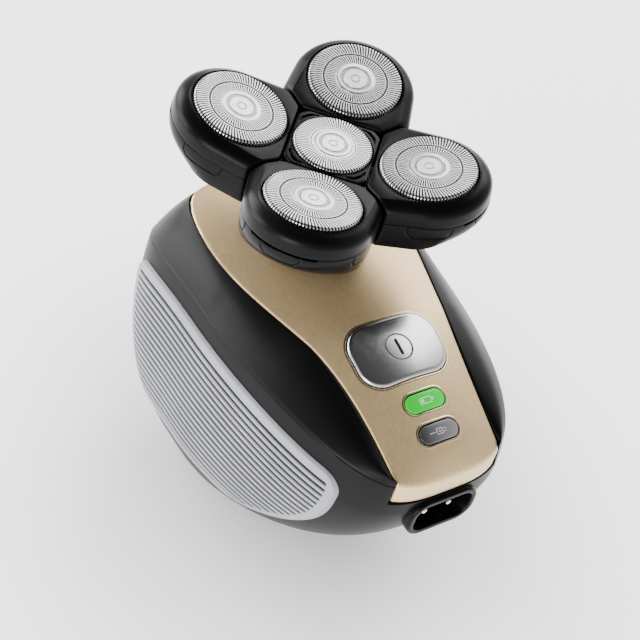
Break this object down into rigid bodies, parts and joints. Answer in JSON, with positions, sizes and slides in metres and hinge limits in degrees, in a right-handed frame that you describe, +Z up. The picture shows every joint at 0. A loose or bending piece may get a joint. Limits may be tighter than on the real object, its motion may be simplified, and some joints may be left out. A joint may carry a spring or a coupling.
{
  "type": "rotary head shaver",
  "caption": "Palm-held rotary head shaver: egg-shaped grip with a power button and charging inlet, and a lift-off head of tilting petals with round cutters.",
  "frame": {"origin": "middle of the bounding box's footprint, on the flat foot", "axes": "+Z up along the middle cutter's axis, front (charging inlet and button) towards -Y, +X to the right seen from behind the button"},
  "size_m": [0.073, 0.1078, 0.1054],
  "materials": {
    "black_shell": "satin",
    "gold_panel": "satin champagne gold",
    "grip_rubber": "matt",
    "button_metal": "satin",
    "green_lens": "gloss",
    "smoke_lens": "gloss",
    "steel": "brushed",
    "seal_rubber": "matt",
    "brass": "machined",
    "nylon": "moulded",
    "board": "solder mask",
    "cell_wrap": "shrink sleeve",
    "cutter_steel": "polished"
  },
  "bodies": {
    "handset": {"lower_shell": "black_shell", "top_shell": "black_shell", "front_panel": "gold_panel", "grip_left": "grip_rubber", "grip_right": "grip_rubber", "battery_lens": "green_lens", "charge_lens": "smoke_lens", "inlet_housing": "black_shell", "charge_pin_left": "steel", "charge_pin_right": "steel", "neck_collar": "black_shell", "neck_seal": "seal_rubber", "spindle_bearing": "brass", "motor": "steel", "motor_frame": "black_shell", "motor_screw_1": "steel", "motor_screw_2": "steel", "control_board": "board", "button_switch": "black_shell", "battery_cell": "cell_wrap", "battery_cradle": "black_shell"},
    "button": {"power_button": "button_metal"},
    "drive": {"drive_spindle": "steel", "reduction_gear": "nylon"},
    "rotor": {"motor_pinion": "brass"},
    "head": {"head_base": "black_shell", "centre_holder": "black_shell", "centre_cap": "cutter_steel"},
    "centre_drive": {"centre_gear": "nylon", "centre_cutter": "cutter_steel"},
    "petal_rear_right": {"petal_cover_rear_right": "black_shell", "petal_base_rear_right": "black_shell", "cap_rear_right": "cutter_steel"},
    "spin_rear_right": {"petal_gear_rear_right": "nylon", "cutter_rear_right": "cutter_steel"},
    "petal_rear_left": {"petal_cover_rear_left": "black_shell", "petal_base_rear_left": "black_shell", "cap_rear_left": "cutter_steel"},
    "spin_rear_left": {"petal_gear_rear_left": "nylon", "cutter_rear_left": "cutter_steel"},
    "petal_front_left": {"petal_cover_front_left": "black_shell", "petal_base_front_left": "black_shell", "cap_front_left": "cutter_steel"},
    "spin_front_left": {"petal_gear_front_left": "nylon", "cutter_front_left": "cutter_steel"},
    "petal_front_right": {"petal_cover_front_right": "black_shell", "petal_base_front_right": "black_shell", "cap_front_right": "cutter_steel"},
    "spin_front_right": {"petal_gear_front_right": "nylon", "cutter_front_right": "cutter_steel"}
  },
  "joints": [
    {"name": "button_press", "type": "slide", "parent": "handset", "child": "button", "axis": [0, 0.2359, -0.9718], "range_m": [0, 0.0008], "stiffness_N_per_m": 2500, "springref_m": -0.0004},
    {"name": "drive_spin", "type": "hinge", "parent": "handset", "child": "drive", "pos_m": [0, 0.0206, 0.0572], "axis": [0, 0, 1], "continuous": true},
    {"name": "motor_spin", "type": "hinge", "parent": "handset", "child": "rotor", "pos_m": [0, 0.0318, 0.0572], "axis": [0, 0, 1], "continuous": true},
    {"name": "head_lift", "type": "slide", "parent": "handset", "child": "head", "axis": [0, 0, 1], "range_m": [0, 0.025]},
    {"name": "centre_spin", "type": "hinge", "parent": "head", "child": "centre_drive", "pos_m": [0, 0.0206, 0.09287], "axis": [0, 0, 1], "continuous": true},
    {"name": "petal_tilt_rear_right", "type": "hinge", "parent": "head", "child": "petal_rear_right", "pos_m": [0.00895, 0.02955, 0.09287], "axis": [-0.7071, 0.7071, 0], "range_deg": [0, 5], "stiffness_Nm_per_rad": 0.25, "springref_deg": -3.44},
    {"name": "cutter_spin_rear_right", "type": "hinge", "parent": "petal_rear_right", "child": "spin_rear_right", "pos_m": [0.01676, 0.03736, 0.10355], "axis": [-0.1173, -0.1173, 0.9861], "continuous": true},
    {"name": "petal_tilt_rear_left", "type": "hinge", "parent": "head", "child": "petal_rear_left", "pos_m": [-0.00895, 0.02955, 0.09287], "axis": [-0.7071, -0.7071, 0], "range_deg": [0, 5], "stiffness_Nm_per_rad": 0.25, "springref_deg": -3.44},
    {"name": "cutter_spin_rear_left", "type": "hinge", "parent": "petal_rear_left", "child": "spin_rear_left", "pos_m": [-0.01676, 0.03736, 0.10355], "axis": [0.1173, -0.1173, 0.9861], "continuous": true},
    {"name": "petal_tilt_front_left", "type": "hinge", "parent": "head", "child": "petal_front_left", "pos_m": [-0.00895, 0.01165, 0.09287], "axis": [0.7071, -0.7071, 0], "range_deg": [0, 5], "stiffness_Nm_per_rad": 0.25, "springref_deg": -3.44},
    {"name": "cutter_spin_front_left", "type": "hinge", "parent": "petal_front_left", "child": "spin_front_left", "pos_m": [-0.01676, 0.00384, 0.10355], "axis": [0.1173, 0.1173, 0.9861], "continuous": true},
    {"name": "petal_tilt_front_right", "type": "hinge", "parent": "head", "child": "petal_front_right", "pos_m": [0.00895, 0.01165, 0.09287], "axis": [0.7071, 0.7071, 0], "range_deg": [0, 5], "stiffness_Nm_per_rad": 0.25, "springref_deg": -3.44},
    {"name": "cutter_spin_front_right", "type": "hinge", "parent": "petal_front_right", "child": "spin_front_right", "pos_m": [0.01676, 0.00384, 0.10355], "axis": [-0.1173, 0.1173, 0.9861], "continuous": true}
  ],
  "couplings": [
    {"joint": "motor_spin", "follows": "drive_spin", "ratio": -3},
    {"joint": "centre_spin", "follows": "drive_spin", "ratio": 1},
    {"joint": "cutter_spin_rear_right", "follows": "drive_spin", "ratio": -1},
    {"joint": "cutter_spin_rear_left", "follows": "drive_spin", "ratio": -1},
    {"joint": "cutter_spin_front_left", "follows": "drive_spin", "ratio": -1},
    {"joint": "cutter_spin_front_right", "follows": "drive_spin", "ratio": -1}
  ]
}
